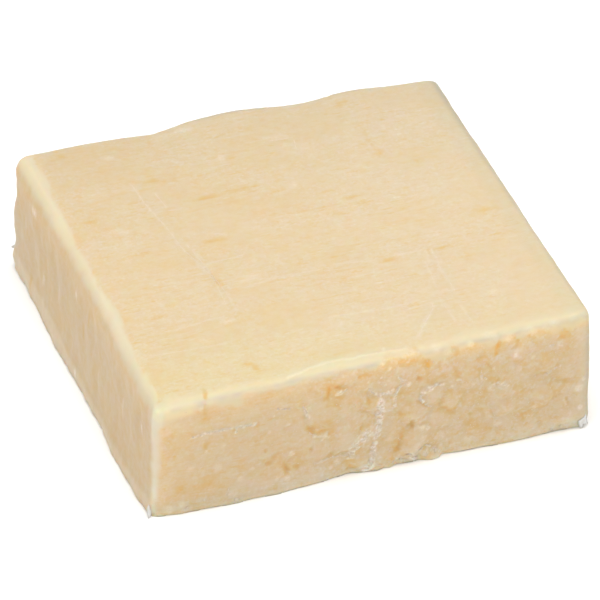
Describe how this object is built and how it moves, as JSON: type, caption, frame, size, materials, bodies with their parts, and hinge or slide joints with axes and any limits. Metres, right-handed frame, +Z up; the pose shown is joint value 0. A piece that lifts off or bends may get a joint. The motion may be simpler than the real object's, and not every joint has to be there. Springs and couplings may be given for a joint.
{
  "type": "cheddar chunk",
  "caption": "Square slab of pale white cheddar with softly rounded edges, a smooth pressed top and a torn, curdy front cut.",
  "frame": {"origin": "under the middle of the slab, on the surface it lies on", "axes": "+Z up through the thickness, +X to the right along the torn front cut, which faces -Y, and +Y towards the back"},
  "size_m": [0.0932, 0.0924, 0.0275],
  "materials": {
    "cheese": "cut white cheddar: pale cream, faintly waxy and translucent"
  },
  "bodies": {
    "root": {"cheddar_chunk": "cheese"}
  },
  "joints": []
}
